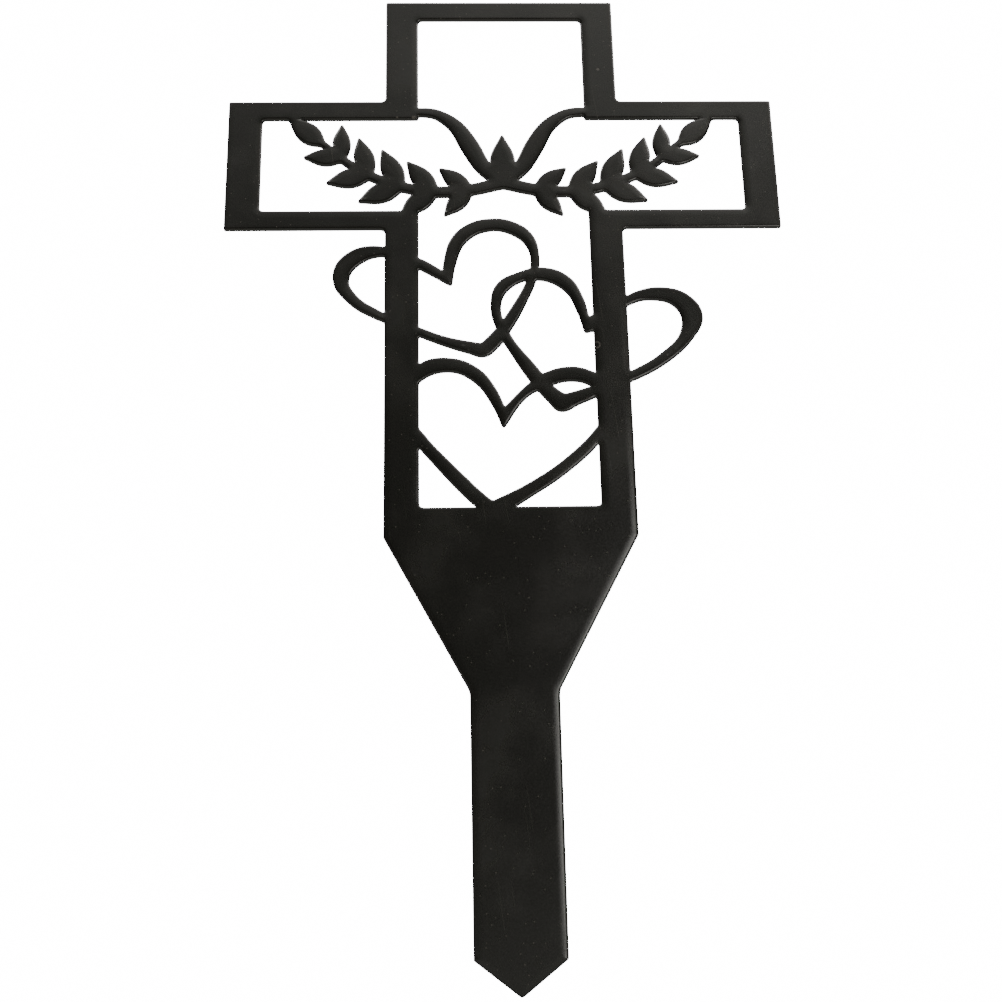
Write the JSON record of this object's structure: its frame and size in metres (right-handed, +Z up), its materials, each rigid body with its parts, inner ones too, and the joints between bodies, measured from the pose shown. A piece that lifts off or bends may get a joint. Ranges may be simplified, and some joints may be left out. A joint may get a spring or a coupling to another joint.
{
  "type": "metal grave cross",
  "caption": "Flat openwork cross on a pointed ground spike, cut from black-coated steel plate, with open hearts and a leafy spray bridging its bars.",
  "frame": {"origin": "middle of the spike on the plate's back face, at the ground line where the plate starts to widen", "axes": "+Z up the cross, +X to the right seen from the front, +Y out of the back face, so the front faces -Y"},
  "size_m": [0.2252, 0.002, 0.4],
  "materials": {
    "black_coat": "black satin powder coat over cut steel, thicker and softly rounded along the edges, with a fine orange peel"
  },
  "bodies": {
    "root": {"cross_plate": "black_coat"}
  },
  "joints": []
}
